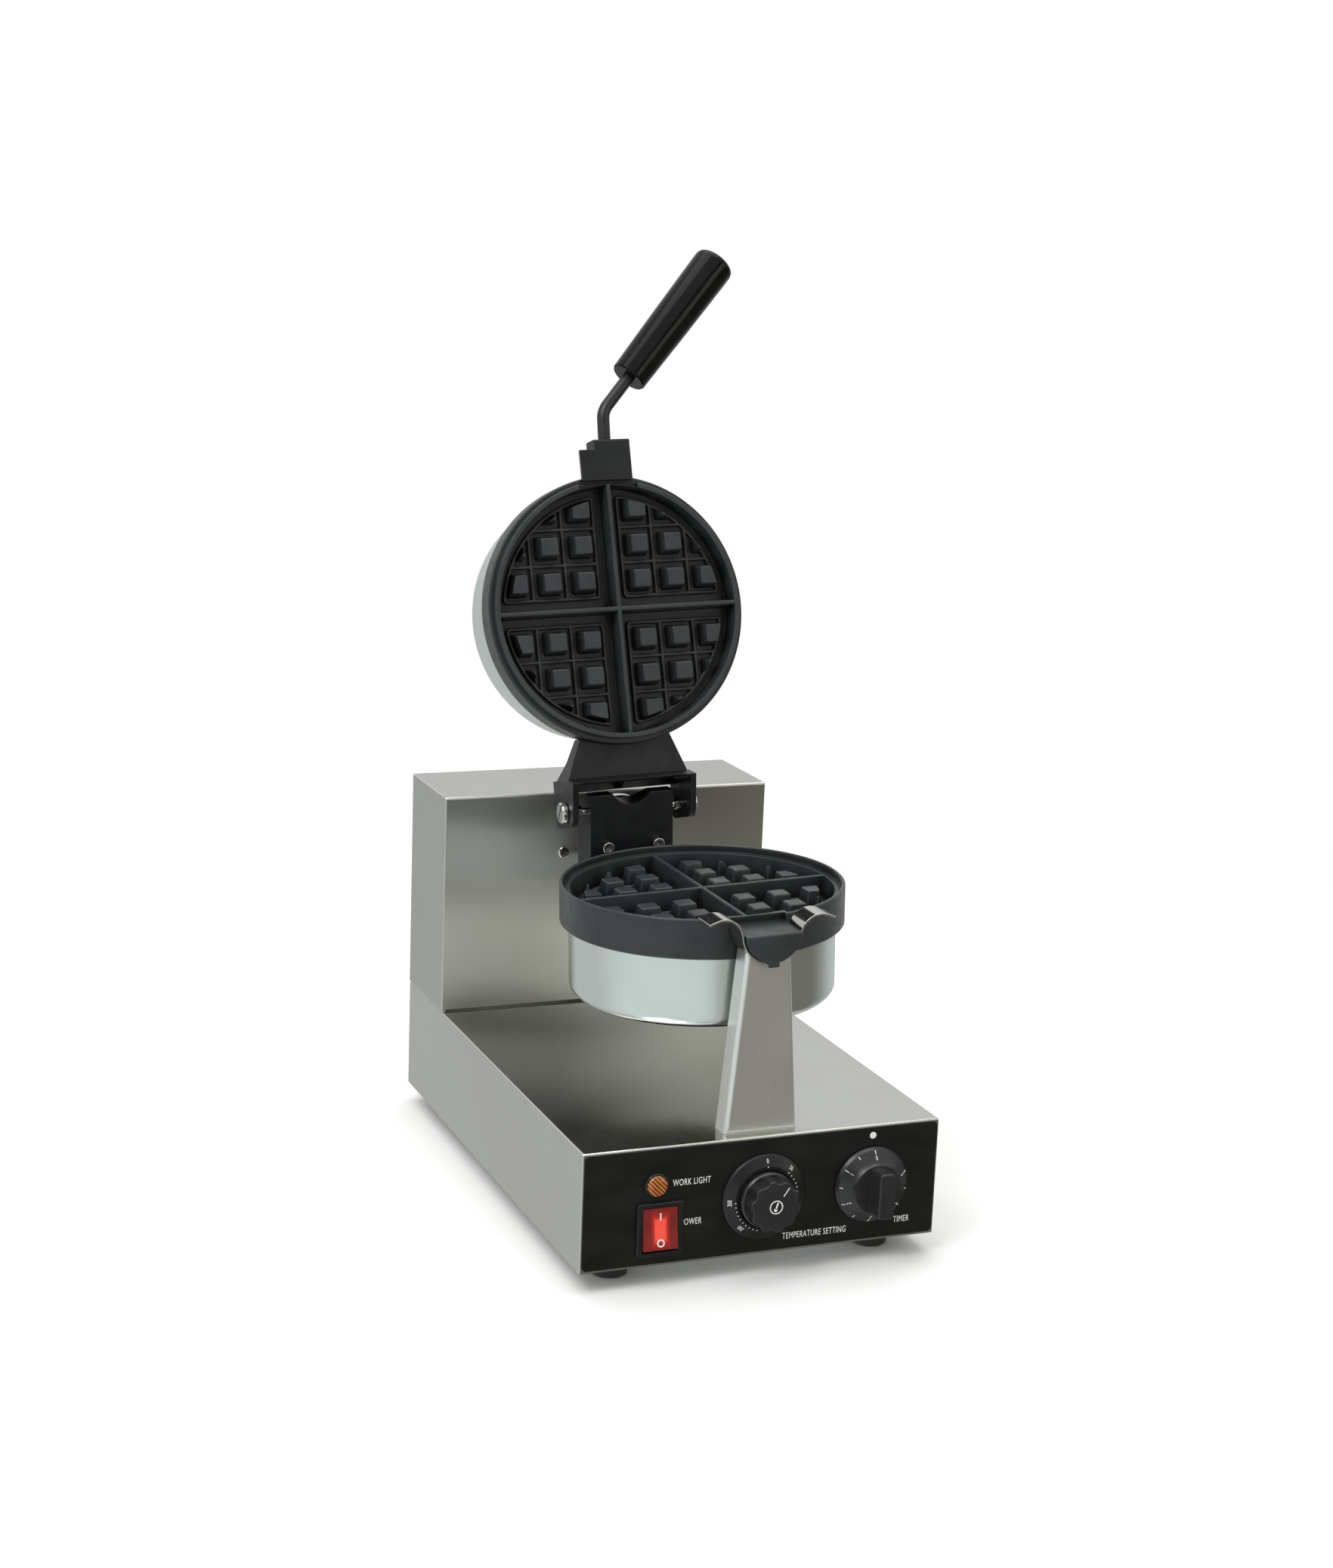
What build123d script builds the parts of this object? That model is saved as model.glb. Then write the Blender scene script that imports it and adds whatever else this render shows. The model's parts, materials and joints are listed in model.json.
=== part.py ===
from build123d import *
import math
import os

# Rotary waffle maker, standing open. Millimetres, +Z up, +X to the right of someone
# at the controls, who looks along +Y. The origin is on the table, under the middle.

# ---- driving dimensions -------------------------------------------------------------
FOOT_H = 14.0            # rubber feet under the base
BASE_W = 250.0
BASE_D = 385.0
BASE_H = 80.0
SHEET = 1.2              # stainless sheet
REAR_D = 82.0            # rear housing, front to back
REAR_H = 160.0           # rear housing above the base
KNOB_PROUD = 26.0        # timer grip in front of the panel
GLAND_PROUD = 14.0       # cable gland behind the base
PANEL_T = 0.8

PLATE_SETBACK = 121.6    # plate centre behind the base's front face
AXIS_RISE = 134.0        # flip axis above the base's top
RING_R = 96.0            # outside of both castings
LIP_R = 93.4             # inside of the lower casting's raised lip
LIP_H = 4.5              # lip above the parting plane
WAFFLE_R = 89.0
PIT_DEPTH = 15.0         # parting plane to the floor of the pattern
FLOOR_T = 5.0
COVER_R = 90.0
COVER_H = 51.0
PARTING_GAP = 0.3        # each half stays this far from the flip axis plane

RIDGE_TOP = 3.0
RIDGE_FOOT = 5.6
QUARTER_EDGE = 8.5       # outline of a quarter pattern from the centre lines
QUARTER_R = 83.0
CELL = 25.5
RIB_W = 2.2
RIB_H = 3.0
PEG_FOOT = 17.0
PEG_TOP = 12.5
PEG_H = 12.0
PEG_LIMIT_R = 79.0

HINGE_SETBACK = 263.0    # lid pivot behind the base's front face
HINGE_RISE = 22.0        # lid pivot above the flip axis
LID_OPEN = 105.4         # degrees from closed to the open stop
REST_ROLL = 2.0          # degrees the resting iron is turned about the flip axis
EAR_OUT = 47.0
EAR_IN = 42.7
PIVOT_R = 2.5
SHAFT_SCREW = (19.2, -3.5)   # screws into the shaft's flange: +-x and height over the flip axis

JOURNAL_R = 19.0         # half-round lugs that turn in the front saddle
JOURNAL_REACH = 120.6
SHAFT_R = 10.0
ROD_R = 4.5
GRIP_L = 113.0
FIT = 0.05               # radial running clearance
GAP = 0.5

# ---- places worked out from them ----------------------------------------------------
FRONT = -(BASE_D + GLAND_PROUD - KNOB_PROUD) / 2
BACK = FRONT + BASE_D
BASE_TOP = FOOT_H + BASE_H
REAR_FRONT = BACK - REAR_D
REAR_TOP = BASE_TOP + REAR_H
PLATE_Y = FRONT + PLATE_SETBACK
AXIS_Z = BASE_TOP + AXIS_RISE
PIVOT_Y = FRONT + HINGE_SETBACK
PIVOT_Z = AXIS_Z + HINGE_RISE
COVER_TOP = PIT_DEPTH + FLOOR_T
RING_BACK = 22.5         # skirt of a casting, from the parting plane

LAMP_AT = (-74.6, 54.8)  # x and height above the base's underside, on the panel
ROCKER_AT = (-71.7, 25.4)
THERMOSTAT_AT = (0.0, 39.5)
TIMER_AT = (76.5, 39.6)
GLAND_AT = (-70.0, 32.0)
ROCKER_PIVOT = 1.5       # rocker's pivot behind the base's front face
ROCKER_PIN_R = 1.8
FOOT_X = 93.0
FOOT_Y = 30.0


# ---- small builders -----------------------------------------------------------------
def block(x0, x1, y0, y1, z0, z1):
    centre = ((x0 + x1) / 2, (y0 + y1) / 2, (z0 + z1) / 2)
    return Pos(*centre) * Box(x1 - x0, y1 - y0, z1 - z0)


def rod(radius, start, end):
    """A round bar between two points."""
    a, b = Vector(start), Vector(end)
    plane = Plane(origin=a, z_dir=b - a)
    return extrude(plane * Circle(radius), (b - a).length)


def turned(profile):
    """Revolve a closed (radius, z) outline about Z."""
    return revolve(Plane.XZ * make_face(Polyline(*profile, close=True)), Axis.Z)


def panel_point(at, y=0.0):
    """A point on the front panel, y behind its steel face."""
    return (at[0], FRONT + y, FOOT_H + at[1])


def facing_front(at, y, sketch, depth):
    """Extrude a sketch drawn as seen from the front, towards the back, from y on."""
    plane = Plane(origin=panel_point(at, y), x_dir=(1, 0, 0), z_dir=(0, -1, 0))
    return extrude(plane * sketch, -depth)


def front_turned(at, profile):
    """Turn an outline of (radius, distance in front of the panel) about the panel's normal."""
    solid = turned(profile)
    return Plane(origin=panel_point(at), x_dir=(1, 0, 0), z_dir=(0, -1, 0)) * solid


def iron_place(solid):
    """Turn a level solid of the iron into its resting roll about the flip axis."""
    return solid.rotate(Axis((0, 0, AXIS_Z), (0, 1, 0)), -REST_ROLL)


def lid_place(solid):
    """Swing a solid of the closed lid open about the pivot, then roll it with the iron."""
    opened = solid.rotate(Axis((0, PIVOT_Y, PIVOT_Z), (1, 0, 0)), -LID_OPEN)
    return iron_place(opened)


def lower_half(solid):
    """Put a solid drawn about the origin, cooking side up, in the lower half."""
    return iron_place(Pos(0, PLATE_Y, AXIS_Z) * solid)


def upper_half(solid):
    """Put a solid drawn about the origin, cooking side up, in the open upper half."""
    return lid_place(Pos(0, PLATE_Y, AXIS_Z) * Rot(180, 0, 0) * solid)


# ---- the waffle pattern and the castings --------------------------------------------
def peg():
    """One tapered peg standing on the floor of the pattern."""
    slope = math.degrees(math.atan((PEG_FOOT - PEG_TOP) / 2 / PEG_H))
    body = extrude(Rectangle(PEG_FOOT, PEG_FOOT), PEG_H, taper=slope)
    slanted = [edge for edge in body.edges() if edge.length > PEG_H and abs(edge.tangent_at(0).Z) > 0.5]
    return fillet(slanted, 1.5)


def quarter_ribs():
    """Thin raised ribs of one quarter: its outline and the lines between its cells."""
    reach = QUARTER_R + 5
    corner = Pos(QUARTER_EDGE, QUARTER_EDGE) * Rectangle(reach, reach, align=(Align.MIN, Align.MIN))
    outline = fillet((Circle(QUARTER_R) & corner).vertices(), 3.0)
    web = outline - offset(outline, -RIB_W)
    for line in (QUARTER_EDGE + CELL, QUARTER_EDGE + 2 * CELL):
        across = Pos(line, reach / 2) * Rectangle(RIB_W, reach)
        along = Pos(reach / 2, line) * Rectangle(reach, RIB_W)
        web += outline & across
        web += outline & along
    ribs = extrude(web, RIB_H)
    return chamfer(ribs.edges().group_by(Axis.Z)[-1], 0.4)


def quarter_pegs():
    """Pegs of the quarter where x and y are positive, standing on z = 0."""
    first = QUARTER_EDGE + CELL / 2
    limit = Cone(PEG_LIMIT_R + 1.5, PEG_LIMIT_R, PEG_H, align=(Align.CENTER, Align.CENTER, Align.MIN))
    plain = peg()
    whole = chamfer(plain.edges().group_by(Axis.Z)[-1], 0.6)
    pegs = []
    for column in range(3):
        for row in range(3):
            x, y = first + column * CELL, first + row * CELL
            if column + row < 3 and max(column, row) < 2:
                pegs.append(Pos(x, y) * whole)
            elif column + row < 4:
                pegs += ((Pos(x, y) * plain) & limit).solids()
    return pegs


def four_quarters(solids):
    """Repeat a quarter's solids round the plate, on the floor of the pattern."""
    return [Pos(0, 0, -PIT_DEPTH) * Rot(0, 0, 90 * turn) * solid for turn in range(4) for solid in solids]


def ridge_cross():
    """Two ridges that part the waffle into quarters, standing on z = 0."""
    height = PIT_DEPTH - PARTING_GAP
    section = Polyline((-RIDGE_FOOT / 2, 0), (-RIDGE_TOP / 2, height), (RIDGE_TOP / 2, height),
                       (RIDGE_FOOT / 2, 0), close=True)
    bar = extrude(Plane.XZ * make_face(section), WAFFLE_R - 0.1, both=True)
    bar = fillet(bar.edges().group_by(Axis.Z)[-1].filter_by(Axis.Y), 0.9)
    return bar + Rot(0, 0, 90) * bar


def casting(rim):
    """A grid casting about the origin, cooking side up, with its own rim outline and without its pegs."""
    pit_foot = WAFFLE_R - 1.5
    profile = [(0, -PIT_DEPTH), (pit_foot, -PIT_DEPTH), (WAFFLE_R, -PARTING_GAP)]
    profile += rim
    profile += [(RING_R - 1.0, -RING_BACK), (COVER_R + 1.5, -RING_BACK),
                (COVER_R + 1.5, -COVER_TOP), (0, -COVER_TOP)]
    body = turned(profile)
    ridges = Pos(0, 0, -PIT_DEPTH) * ridge_cross()
    return body.fuse(ridges, *four_quarters(quarter_ribs().solids()))


def journal(reach, inner):
    """Half-round lug under the parting plane, which turns in the front saddle."""
    half = Circle(JOURNAL_R) & Pos(0, -JOURNAL_R) * Rectangle(3 * JOURNAL_R, 2 * JOURNAL_R - 2 * PARTING_GAP)
    solid = extrude(Plane.XZ * half, reach)
    solid -= block(-JOURNAL_R, JOURNAL_R, -inner, 1, -JOURNAL_R - 1, 1)
    return fillet(solid.edges().filter_by(Axis.X).group_by(Axis.Y)[0], 1.6)


def lower_grid_plate():
    rim = [(LIP_R, -PARTING_GAP), (LIP_R, LIP_H - 0.6), (LIP_R + 0.6, LIP_H),
           (RING_R - 0.8, LIP_H), (RING_R, LIP_H - 0.8), (RING_R, 1.0 - RING_BACK)]
    body = casting(rim)
    wall = JOURNAL_R + 2.6
    dam = block(-wall, wall, -RING_R, -WAFFLE_R + 3, -1, LIP_H) & turned(
        [(WAFFLE_R, -1), (RING_R - 0.5, -1), (RING_R - 0.5, LIP_H), (WAFFLE_R, LIP_H)])
    body += dam
    notch = JOURNAL_R + 0.6
    body -= block(-notch, notch, -RING_R - 2, -WAFFLE_R - 1.6, -PARTING_GAP, LIP_H + 2)
    body += journal(JOURNAL_REACH, WAFFLE_R + 2)
    tab = block(-3.5, 3.5, -JOURNAL_REACH, -JOURNAL_REACH + 2.4, -JOURNAL_R - 3.0, -JOURNAL_R + 2)
    arm_top = SHAFT_SCREW[1] - 7.0
    arm = block(-26, 26, WAFFLE_R + 3, bracket_front() - PLATE_Y, -RING_BACK, arm_top)
    arm = fillet(arm.edges().filter_by(Axis.Y), 3.0)
    return lower_half(body + tab + arm)


def upper_grid_plate():
    nose = LIP_R - 1.0
    step = -LIP_H - PARTING_GAP
    rim = [(nose - 0.5, -PARTING_GAP), (nose, -PARTING_GAP - 0.5), (nose, step),
           (RING_R - 0.8, step), (RING_R, step - 0.8), (RING_R, 1.0 - RING_BACK)]
    body = casting(rim)
    wall = JOURNAL_R + 3.4
    nose_ring = turned([(WAFFLE_R, step), (RING_R, step), (RING_R, 2), (WAFFLE_R, 2)])
    return upper_half(body - (nose_ring & block(-wall, wall, 0, RING_R, step, 2)))


def cover():
    """Deep drawn cover about the origin, open side up at the casting's back."""
    bottom = -COVER_TOP - COVER_H
    r_in, corner = COVER_R - SHEET, 7.0
    outer = Pos(0, 0, -COVER_TOP) * Cylinder(COVER_R, COVER_H, align=(Align.CENTER, Align.CENTER, Align.MAX))
    outer = fillet(outer.edges().group_by(Axis.Z)[0], corner)
    inner = Pos(0, 0, -COVER_TOP + 1) * Cylinder(r_in, COVER_H + 1 - SHEET,
                                                 align=(Align.CENTER, Align.CENTER, Align.MAX))
    inner = fillet(inner.edges().group_by(Axis.Z)[0], corner - SHEET)
    hole = Pos(0, 0, bottom) * Cylinder(3.2, 4 * SHEET)
    return outer - inner - hole


def heating_element():
    """Tubular heater, one open turn clipped under the casting's floor, with two cold ends."""
    ring_r, tube_r, open_angle = 58.0, 3.6, 16.0
    z = -COVER_TOP - tube_r - 0.2
    arc = CenterArc((0, 0, z), ring_r, 90 + open_angle, 360 - 2 * open_angle)
    section = Plane(origin=arc @ 0, z_dir=arc % 0) * Circle(tube_r)
    tube = sweep(section, path=arc)
    for end in (0, 1):
        x, y = (arc @ end).X, (arc @ end).Y
        tube += rod(tube_r, (x, y, z), (x, y, z - 16))
        tube += rod(1.6, (x, y, z - 15), (x, y, z - 28))
        tube += Pos(x, y, z) * Sphere(tube_r)
    return tube


def cover_screw():
    """Screw through the middle of the cover into a post under the casting."""
    bottom = -COVER_TOP - COVER_H
    post = Pos(0, 0, -COVER_TOP) * Cylinder(6, COVER_H - SHEET, align=(Align.CENTER, Align.CENTER, Align.MAX))
    post -= Pos(0, 0, bottom) * Cylinder(3.0, 44)
    screw = Pos(0, 0, bottom - 2.6) * Cylinder(6.5, 2.6, align=(Align.CENTER, Align.CENTER, Align.MIN))
    screw = fillet(screw.edges().group_by(Axis.Z)[0], 1.6)
    screw -= Pos(0, 0, bottom - 2.6) * Box(9, 1.4, 2.4)
    screw += Pos(0, 0, bottom) * Cylinder(3.0, 21, align=(Align.CENTER, Align.CENTER, Align.MIN))
    return post, screw


# ---- hinge, flip shaft and handle ---------------------------------------------------
def bracket_front():
    return PIVOT_Y - 9.0


def bracket_back():
    return PIVOT_Y + 18.0


def lower_hinge_bracket():
    """Block behind the lower casting that carries the lid's pivot screws and the flip shaft."""
    half, top, low = 31.5, PIVOT_Z + 12.8, AXIS_Z - 26.0
    side = [(bracket_front(), low), (bracket_front(), top), (PIVOT_Y + 2, top),
            (bracket_back(), PIVOT_Z + 1), (bracket_back(), low)]
    body = extrude(Plane.YZ * make_face(Polyline(*side, close=True)), half, both=True)
    body = fillet(body.edges().filter_by(Axis.X).group_by(Axis.Y)[0], 1.0)
    notch_r, notch_depth = 16.6, 8.3
    body -= rod(notch_r, (0, bracket_front() - 5, top - notch_depth + notch_r),
                (0, bracket_back() + 5, top - notch_depth + notch_r))
    for side_sign in (-1, 1):
        body -= rod(PIVOT_R, (side_sign * 16, PIVOT_Y, PIVOT_Z), (side_sign * 40, PIVOT_Y, PIVOT_Z))
        x, z = side_sign * SHAFT_SCREW[0], AXIS_Z + SHAFT_SCREW[1]
        body -= rod(2.6, (x, bracket_front() - 2, z), (x, bracket_back() + 2, z))
    return iron_place(body)


def bracket_screws():
    """Two socket screws through the hinge bracket into the shaft's flange."""
    screws = []
    z, head_front = AXIS_Z + SHAFT_SCREW[1], bracket_front() - 5
    for x in (-SHAFT_SCREW[0], SHAFT_SCREW[0]):
        head = rod(4.3, (x, head_front, z), (x, bracket_front(), z))
        head = fillet(head.edges().group_by(Axis.Y)[0], 0.5)
        socket = extrude(Plane(origin=(x, head_front, z), z_dir=(0, 1, 0)) * RegularPolygon(2.3, 6), 3)
        shank = rod(2.6, (x, bracket_front(), z), (x, bracket_back() + 6, z))
        screws.append(iron_place(head - socket + shank))
    return Compound(children=screws)


def pivot_screws():
    """Slotted shoulder screws on which the lid's ears turn."""
    screws = []
    for side in (-1, 1):
        seat, head_out = side * (EAR_OUT + 0.6), side * (EAR_OUT + 4.8)
        body = rod(PIVOT_R, (side * 17, PIVOT_Y, PIVOT_Z), (seat, PIVOT_Y, PIVOT_Z))
        head = rod(7.6, (seat, PIVOT_Y, PIVOT_Z), (head_out, PIVOT_Y, PIVOT_Z))
        ends = head.edges().filter_by(GeomType.CIRCLE).sort_by(Axis.X)
        head = fillet(ends[-1] if side > 0 else ends[0], 1.4)
        slot = Pos(head_out, PIVOT_Y, PIVOT_Z) * Rot(28, 0, 0) * Box(3.6, 1.7, 20)
        screws.append(iron_place(body + (head - slot)))
    return Compound(children=screws)


def lock_nuts():
    """Hexagon nuts that lock the pivot screws between the ears and the bracket."""
    nuts = []
    for x in (-39.8, 35.8):
        plane = Plane(origin=(x, PIVOT_Y, PIVOT_Z), z_dir=(1, 0, 0))
        nut = extrude(plane * (RegularPolygon(4.6, 6) - Circle(PIVOT_R)), 4.0)
        nuts.append(iron_place(nut))
    return Compound(children=nuts)


def side_profile(points, half_width):
    """Extrude an outline given as (distance from the plate centre, height over the parting plane)."""
    outline = [(PLATE_Y - rad, AXIS_Z + h) for rad, h in points]
    return extrude(Plane.YZ * make_face(Polyline(*outline, close=True)), half_width, both=True)


def upper_hinge_bracket():
    """Cast arm from the upper casting to a hood with two ears that turn on the pivot screws."""
    wall, hood_front, hood_back = 3.5, -118.0, -127.0
    near, far = PLATE_Y + 90, PLATE_Y + 122
    flared = make_face(Polyline((-34, near), (-EAR_OUT, far), (EAR_OUT, far), (34, near), close=True))
    neck = side_profile([(-90, 14), (-90, 26), (-106, 30), (-122, 44), (-122, 14)], EAR_OUT)
    neck &= Pos(0, 0, AXIS_Z) * extrude(flared, 60)
    neck -= Pos(0, PLATE_Y, AXIS_Z) * Cylinder(RING_R + 0.02, 200)
    head = side_profile([(hood_front, 14), (hood_front, 44), (-152, 44), (-152, 12), (-147, 7.5),
                         (hood_front - wall, 0.8)], EAR_OUT)
    head = fillet(head.edges().filter_by(Axis.X).sort_by(Axis.Y)[-2:], 4.0)
    inside = side_profile([(hood_front - wall, -5), (hood_front - wall, 38), (hood_back, 38), (hood_back, 50),
                           (-160, 50), (-160, -5)], EAR_IN)
    inside = fillet(inside.edges().filter_by(Axis.Z).group_by(Axis.Y)[0], 5.0)
    rib = side_profile([(hood_front - 2, 26), (hood_front - 2, 42), (-126.5, 42), (-126.5, 33)], 1.6)
    body = neck + (head - inside) + rib
    body -= rod(PIVOT_R + FIT, (-60, PIVOT_Y, PIVOT_Z), (60, PIVOT_Y, PIVOT_Z))
    return lid_place(body)


def shaft_parts():
    """Hollow flip shaft with a flange on the bracket, and the collar that keeps it in."""
    start, end = bracket_back(), BACK - 30
    tube = rod(SHAFT_R, (0, start, AXIS_Z), (0, end, AXIS_Z))
    flange = rod(27.0, (0, start, AXIS_Z), (0, start + 6, AXIS_Z))
    shaft = tube + flange
    shaft -= rod(6.0, (0, start - 1, AXIS_Z), (0, end + 1, AXIS_Z))
    screw_z = AXIS_Z + SHAFT_SCREW[1]
    for x in (-SHAFT_SCREW[0], SHAFT_SCREW[0]):
        shaft -= rod(2.6, (x, start - 1, screw_z), (x, start + 7, screw_z))
    collar_at = REAR_FRONT + 26
    collar = rod(17.0, (0, collar_at, AXIS_Z), (0, collar_at + 10, AXIS_Z))
    collar -= rod(SHAFT_R, (0, collar_at - 1, AXIS_Z), (0, collar_at + 11, AXIS_Z))
    collar -= block(-1, 1, collar_at - 1, collar_at + 11, AXIS_Z + SHAFT_R - 1, AXIS_Z + 20)
    return iron_place(shaft), iron_place(collar)


def handle_block():
    """Half-round block of the lid that closes on the lower lug, stepped at one corner."""
    outer, step = 121.5, 114.3
    body = journal(outer, WAFFLE_R + 3.2)
    body -= block(-JOURNAL_R - 1, -7.7, -outer - 1, -step, -30, 5)
    ring = Cylinder(RING_R + 0.02, 200) & block(-30, 30, -RING_R - 1, 0, -100, -LIP_H - PARTING_GAP)
    body -= ring
    closed = Pos(0, PLATE_Y, AXIS_Z) * mirror(body, Plane.XY)
    start, corner = handle_line()[:2]
    return lid_place(closed - rod(ROD_R, start, corner))


def handle_line():
    """Corners of the bent rod and the grip's far end, in the closed lid's own plane."""
    h, turn = 8.0, math.radians(42.6)
    corner = (3.9, 142.8)
    points = [(2.4, 110.0), corner]
    for along in (32.0, 32.0 + GRIP_L):
        points.append((corner[0] + along * math.sin(turn), corner[1] + along * math.cos(turn)))
    return [Vector(x, PLATE_Y - rad, AXIS_Z + h) for x, rad in points]


def handle_rod():
    start, corner, grip_start, grip_end = handle_line()
    path = FilletPolyline(start, corner, grip_start + (grip_end - grip_start) * 0.6, radius=16)
    section = Plane(origin=path @ 0, z_dir=path % 0) * Circle(ROD_R)
    return lid_place(sweep(section, path=path))


def handle_grip():
    """Tapered grip pushed over the rod, with rounded ends."""
    _, _, start, end = handle_line()
    profile = [(0, 0), (12.4, 0), (13.3, 1.2), (14.4, GRIP_L * 0.45), (15.2, GRIP_L * 0.9),
               (15.2, GRIP_L - 3.4), (14.5, GRIP_L - 1.2), (13.2, GRIP_L), (0, GRIP_L)]
    solid = turned(profile) - Cylinder(ROD_R, 2 * (GRIP_L * 0.6 + 0.5))
    return lid_place(Plane(origin=start, x_dir=(0, 0, 1), z_dir=end - start) * solid)


# ---- base, rear housing and stand ---------------------------------------------------
def panel_openings(depth):
    """Holes through the front for the lamp, switch and spindles."""
    holes = rod(6.2, panel_point(LAMP_AT, -3), panel_point(LAMP_AT, depth))
    for at in (THERMOSTAT_AT, TIMER_AT):
        holes += rod(5.4, panel_point(at, -3), panel_point(at, depth))
    x, z = ROCKER_AT[0], FOOT_H + ROCKER_AT[1]
    holes += block(x - 13.5, x + 13.5, FRONT - 3, FRONT + depth, z - 16.4, z + 16.4)
    return holes


def base_shell():
    """Folded stainless box, open underneath."""
    body = block(-BASE_W / 2, BASE_W / 2, FRONT, BACK, FOOT_H, BASE_TOP)
    body = fillet(body.edges().filter_by(Axis.Y).group_by(Axis.Z)[-1], 1.8)
    body = fillet(body.edges().filter_by(Axis.Z), 1.2)
    body -= block(-BASE_W / 2 + SHEET, BASE_W / 2 - SHEET, FRONT + SHEET, BACK - SHEET,
                  FOOT_H - 1, BASE_TOP - SHEET)
    body -= panel_openings(5)
    gland = (GLAND_AT[0], BACK, FOOT_H + GLAND_AT[1])
    body -= rod(8.05, (gland[0], gland[1] - 5, gland[2]), (gland[0], gland[1] + 5, gland[2]))
    body -= block(-40, 40, REAR_FRONT + 20, BACK - 20, BASE_TOP - 4, BASE_TOP + 4)
    for x in (-14, 14):
        body -= rod(2.1, (x, stand_front() + 10, BASE_TOP - 4), (x, stand_front() + 10, BASE_TOP + 4))
    return body


def control_panel():
    """Black plate laid on the base's front face."""
    edge = 1.6
    plate = facing_front((0, BASE_H / 2), -PANEL_T, RectangleRounded(BASE_W - 2 * edge, BASE_H - 2 * edge, 3.5),
                         PANEL_T)
    return plate - panel_openings(2)


def bottom_plate():
    inset = SHEET + 0.3
    plate = block(-BASE_W / 2 + inset, BASE_W / 2 - inset, FRONT + inset, BACK - inset, FOOT_H, FOOT_H + SHEET)
    for x, y in foot_places():
        plate -= rod(2.6, (x, y, FOOT_H - 2), (x, y, FOOT_H + 4))
    for row in range(6):
        y = FRONT + 150 + 18 * row
        plate -= Pos(0, y, FOOT_H) * extrude(SlotOverall(90, 5), 4, both=True)
    return plate


def foot_places():
    return [(x, y) for y in (FRONT + FOOT_Y, BACK - FOOT_Y) for x in (-FOOT_X, FOOT_X)]


def foot(x, y):
    """Tapered rubber foot with a recess for its screw."""
    body = turned([(0, 0), (11.0, 0), (12.0, 1.0), (13.2, FOOT_H - 2), (12.8, FOOT_H), (0, FOOT_H)])
    body -= Cylinder(5.0, 6, align=(Align.CENTER, Align.CENTER, Align.MIN))
    body -= Cylinder(2.6, 60)
    return Pos(x, y, 0) * body


def foot_screws():
    screws = []
    for x, y in foot_places():
        head = Pos(x, y, 3.4) * Cylinder(4.2, 2.6, align=(Align.CENTER, Align.CENTER, Align.MIN))
        shank = rod(2.6, (x, y, 5), (x, y, FOOT_H + 8))
        screws.append(head + shank)
    return Compound(children=screws)


def rear_housing():
    """Stainless hood over the flip bearing: front, top and sides."""
    half, gap = BASE_W / 2, 1.6
    body = block(-half, half, REAR_FRONT, BACK, BASE_TOP, REAR_TOP)
    body = fillet(body.edges().filter_by(Axis.X).group_by(Axis.Z)[-1].sort_by(Axis.Y)[0], 1.8)
    body = fillet(body.edges().filter_by(Axis.Z).group_by(Axis.Y)[0], 1.2)
    body -= block(-half + SHEET, half - SHEET, REAR_FRONT + SHEET, BACK + 1, BASE_TOP - 1, REAR_TOP - SHEET)
    body -= block(-half + 3, half - 3, REAR_FRONT - 1, REAR_FRONT + 3, BASE_TOP - 1, BASE_TOP + gap)
    body -= rod(22.0, (0, REAR_FRONT - 2, AXIS_Z), (0, REAR_FRONT + 4, AXIS_Z))
    for x, z in bearing_bolts():
        body -= rod(2.6, (x, REAR_FRONT - 2, z), (x, REAR_FRONT + 4, z))
    return body


def rear_cover():
    """Flat plate that closes the rear housing, with louvres cut as slots."""
    half = BASE_W / 2 - SHEET
    plate = block(-half, half, BACK - SHEET, BACK, BASE_TOP + 0.5, REAR_TOP - SHEET)
    for row in range(7):
        z = BASE_TOP + 62 + 9 * row
        slot = Plane(origin=(0, BACK, z), x_dir=(1, 0, 0), z_dir=(0, -1, 0)) * SlotOverall(120, 4.4)
        plate -= extrude(slot, 4, both=True)
    for x, z in rear_cover_places():
        plate -= rod(1.6, (x, BACK - 4, z), (x, BACK + 4, z))
    return plate


def rear_cover_places():
    return [(x, z) for x in (-112, 112) for z in (BASE_TOP + 14, (BASE_TOP + REAR_TOP) / 2, REAR_TOP - 14)]


def rear_cover_screws():
    screws = []
    for x, z in rear_cover_places():
        head = rod(3.4, (x, BACK, z), (x, BACK + 2.0, z))
        head = fillet(head.edges().group_by(Axis.Y)[-1], 1.2)
        cross = Pos(x, BACK + 2, z) * (Box(3.4, 2.0, 0.8) + Box(0.8, 2.0, 3.4))
        screws.append(head - cross + rod(1.6, (x, BACK - 8, z), (x, BACK, z)))
    return Compound(children=screws)


def bearing_bolts():
    return [(x, AXIS_Z - 5 + dz) for x in (-34, 34) for dz in (-14, 14)]


def bearing_block():
    """Block inside the rear housing that holds the flip bush."""
    body = block(-44, 44, REAR_FRONT + SHEET, REAR_FRONT + SHEET + 18, AXIS_Z - 30, REAR_TOP - SHEET - 3)
    body = fillet(body.edges().filter_by(Axis.Y), 5)
    body -= rod(14.0, (0, REAR_FRONT, AXIS_Z), (0, REAR_FRONT + 30, AXIS_Z))
    for x, z in bearing_bolts():
        body -= rod(2.6, (x, REAR_FRONT, z), (x, REAR_FRONT + 30, z))
    return body


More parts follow.
